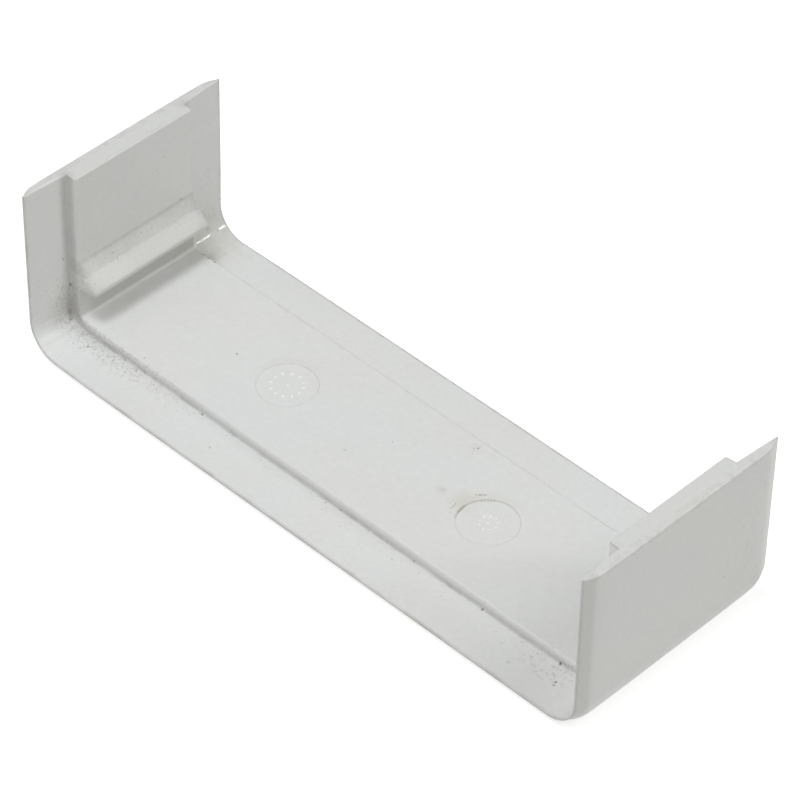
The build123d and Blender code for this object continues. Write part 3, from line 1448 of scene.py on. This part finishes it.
@dataclass(frozen=True)
class Studio:
    """Floor, lamps, surrounding light and camera."""

    floor_half: float = 2.0
    floor_colour: Colour = (0.70, 0.70, 0.69)
    floor_glow: float = 0.65
    ambient: float = 0.215
    ambient_tint: Colour = (1.0, 0.99, 0.93)
    lamps: tuple[Softbox, ...] = (
        Softbox("overhead", (-0.02, -0.26, 0.96), 1.2, 0.36, 4.95, (0.98, 1.00, 1.03)),
        Softbox("right side", (0.55, 0.19, 0.81), 1.2, 0.60, 2.75, (0.98, 1.00, 1.01)),
        Softbox("front", (0.00, -0.60, 0.80), 1.2, 0.60, 1.4),
        Softbox("front left", (-0.50, -0.50, 0.70), 1.2, 0.60, 0.8),
        Softbox("rear glint", (0.678, 0.538, 0.501), 1.42, 0.19, 2.0),
    )
    camera_place: Point = (296.90, -309.94, 408.50)
    camera_right: Point = (0.714547, 0.699400, 0.016189)
    camera_ahead: Point = (-0.506773, 0.533424, -0.677230)
    lens: float = 190.67
    sensor: float = 36.0

    def build(self) -> None:
        """Set the whole studio up."""
        self.build_floor()
        self.build_world()
        for lamp in self.lamps:
            lamp.place()
        self.place_camera()
        bpy.context.scene.view_settings.view_transform = "Standard"

    def seen_directly(self, graph: Graph) -> Signal:
        """Return 1 for what the camera sees, also in a mirror or through glass, and 0 for stray light.

        Args:
            graph: The material's node tree.

        Returns:
            The mask.
        """
        path = graph.node("ShaderNodeLightPath")
        kinds = ("Camera", "Glossy", "Transmission")
        rays = [Signal(graph, path.outputs[f"Is {kind} Ray"]) for kind in kinds]
        return rays[0].at_least(rays[1]).at_least(rays[2])

    def build_floor(self) -> None:
        """Lay a pale floor that looks white and still takes the part's shadow."""
        half = self.floor_half
        mesh = bpy.data.meshes.new("floor")
        corners = [(-half, -half, 0), (half, -half, 0), (half, half, 0), (-half, half, 0)]
        mesh.from_pydata(corners, [], [(0, 1, 2, 3)])
        floor = bpy.data.objects.new("floor", mesh)
        bpy.context.scene.collection.objects.link(floor)
        material = bpy.data.materials.new("pale_floor")
        material.use_nodes = True
        graph = Graph(material.node_tree)
        paper = graph.node("ShaderNodeBsdfDiffuse", None, {"Color": self.floor_colour})
        glow = graph.node("ShaderNodeEmission", None, {"Strength": self.floor_glow})
        bright = graph.node("ShaderNodeAddShader", None, {"Shader": paper, "Shader_001": glow})
        choice = {"Fac": self.seen_directly(graph), "Shader": paper, "Shader_001": bright}
        shown = graph.node("ShaderNodeMixShader", None, choice)
        graph.node("ShaderNodeOutputMaterial", None, {"Surface": shown})
        mesh.materials.append(material)

    def build_world(self) -> None:
        """Surround the part with an even light, and show white behind it."""
        world = bpy.data.worlds.new("studio")
        world.use_nodes = True
        bpy.context.scene.world = world
        graph = Graph(world.node_tree)
        even = {"Color": self.ambient_tint, "Strength": self.ambient}
        soft = graph.node("ShaderNodeBackground", None, even)
        white = graph.node("ShaderNodeBackground", None, {"Color": (1.0, 1.0, 1.0), "Strength": 1.0})
        choice = {"Fac": self.seen_directly(graph), "Shader": soft, "Shader_001": white}
        shown = graph.node("ShaderNodeMixShader", None, choice)
        graph.node("ShaderNodeOutputWorld", None, {"Surface": shown})

    def place_camera(self) -> None:
        """Put the camera where the photograph was taken from."""
        lens = bpy.data.cameras.new("camera")
        lens.sensor_fit = "HORIZONTAL"
        lens.sensor_width = self.sensor
        lens.lens = self.lens
        camera = bpy.data.objects.new("camera", lens)
        right = Vector(self.camera_right).normalized()
        back = -Vector(self.camera_ahead).normalized()
        up = back.cross(right)
        turn = Matrix((right, up, back)).transposed().to_4x4()
        camera.matrix_world = Matrix.Translation(Vector(self.camera_place) * MM) @ turn
        bpy.context.scene.collection.objects.link(camera)
        bpy.context.scene.camera = camera


def adopt(piece: bpy.types.Object, material: bpy.types.Material) -> None:
    """Give a piece its material and its body, and report it.

    Args:
        piece: The new piece.
        material: Its finish.
    """
    piece.data.materials.append(material)
    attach(piece, BODY)
    log.info("%s: %d faces", piece.name, len(piece.data.polygons))


def main() -> None:
    """Build the part and the studio."""
    logging.basicConfig(level=logging.INFO, format="%(name)s: %(message)s")
    low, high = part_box(NODE)
    size = (high - low) / MM
    form = Form(round(size.x, 3), round(size.y, 3), round(size.z, 3))
    plastic = WhitePlastic().make(form)
    moulding = Moulding(form).build()
    adopt(moulding, plastic)
    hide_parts(NODE)
    # Painted highlight: the insert marks get a near-white, smoother plastic so that they show as bright
    # glints.
    bright = WhitePlastic(
        name="white_plastic_painted_glint",
        cool_tone=(0.96, 0.96, 0.95),
        warm_tone=(0.96, 0.96, 0.94),
        roughness=0.22,
        spots=(),
    )
    adopt(InsertMarks(form).build(), bright.make(form))
    Studio().build()
    bpy.context.view_layer.update()


if __name__ == "__main__":
    main()
